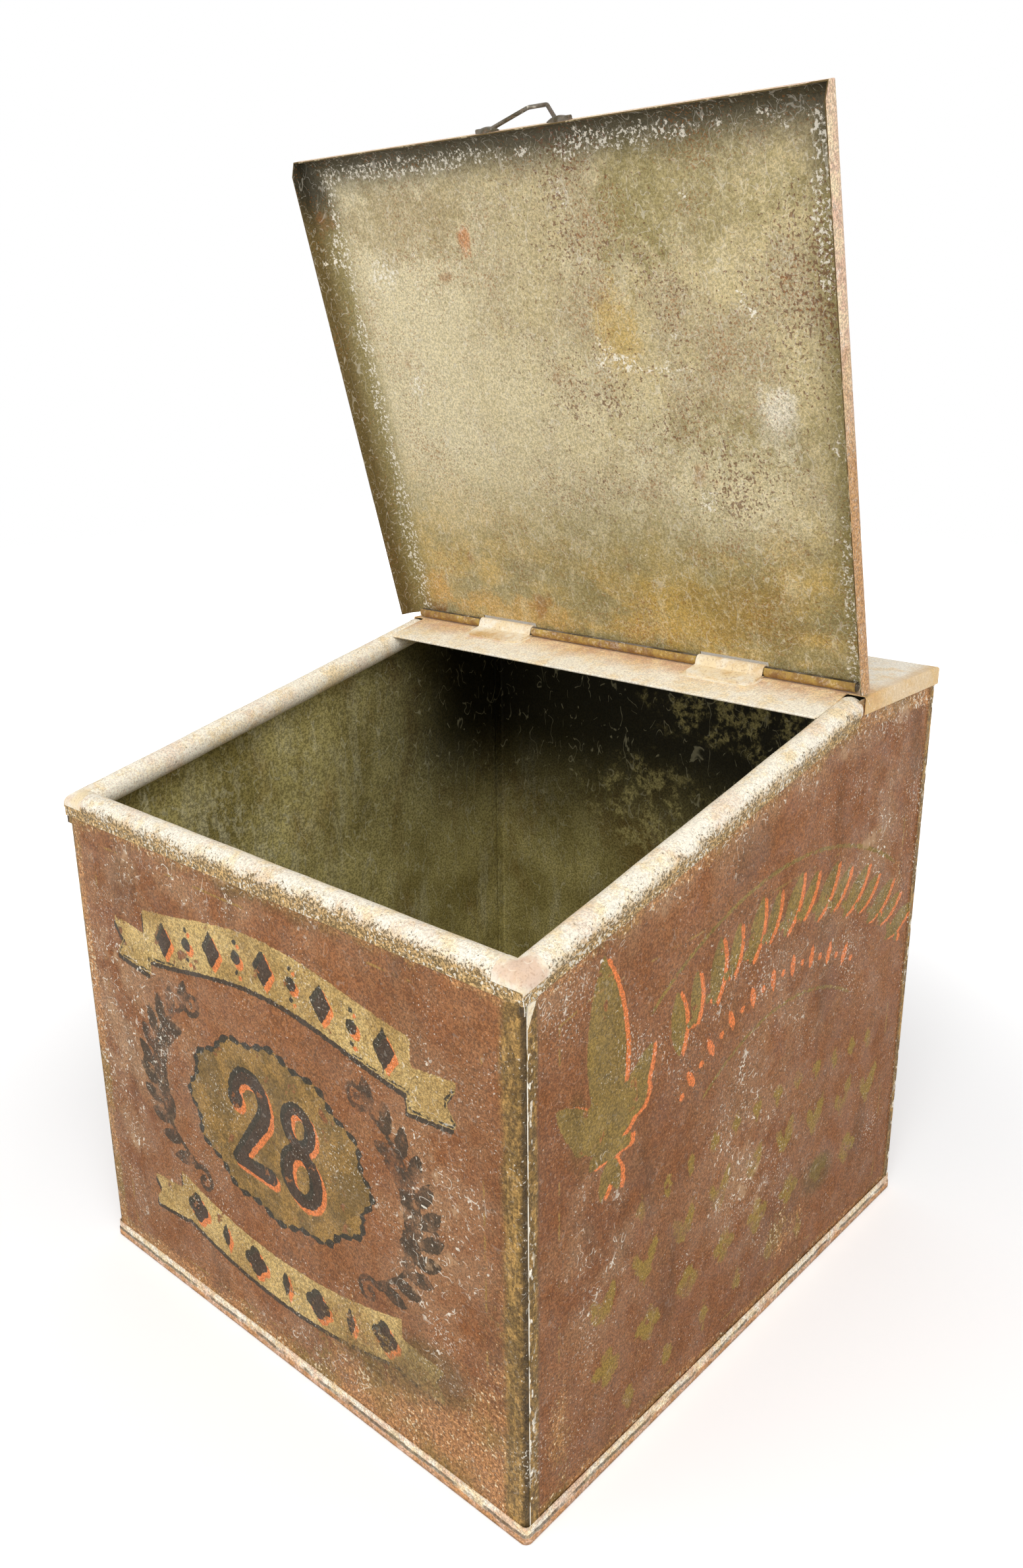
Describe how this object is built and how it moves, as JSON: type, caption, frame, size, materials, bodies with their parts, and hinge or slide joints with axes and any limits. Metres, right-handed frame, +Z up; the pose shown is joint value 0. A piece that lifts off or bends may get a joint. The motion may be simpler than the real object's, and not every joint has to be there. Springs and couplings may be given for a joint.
{
  "type": "tea bin",
  "caption": "Square sheet-metal tea bin with a sloping mouth, rolled rim, flat rear shelf and a hinged, flanged lid with a wire handle.",
  "frame": {"origin": "centre of the footprint, on the floor the bin stands on", "axes": "+X to the right seen from the front, +Y from the front to the back, +Z up"},
  "size_m": [0.3348, 0.3524, 0.6213],
  "materials": {
    "bin_paint": "worn maroon-brown paint on tinplate, olive varnish at the edges, pale worn rim",
    "base_paint": "worn paint with pale ridge",
    "shelf_paint": "worn cream and peach paint with rust",
    "lid_varnish": "khaki lacquer with rust specks and white flakes",
    "strap_tin": "dull tinplate, a little rusty",
    "solder": "dull grey solder",
    "iron_wire": "dark rusted wire"
  },
  "bodies": {
    "bin": {"front_panel": "bin_paint", "left_side_panel": "bin_paint", "right_side_panel": "bin_paint", "back_panel": "bin_paint", "bottom_pan": "base_paint", "top_plate": "shelf_paint", "left_hinge_strap": "strap_tin", "right_hinge_strap": "strap_tin", "rim_corner_solder": "solder", "strap_solder": "solder"},
    "lid": {"lid_panel": "lid_varnish", "hinge_wire": "iron_wire", "lid_handle": "iron_wire", "handle_solder": "solder"}
  },
  "joints": [
    {"name": "lid_hinge", "type": "hinge", "parent": "bin", "child": "lid", "pos_m": [0, 0.093, 0.3435], "axis": [1, 0, 0], "range_deg": [-105, 87.39]}
  ]
}
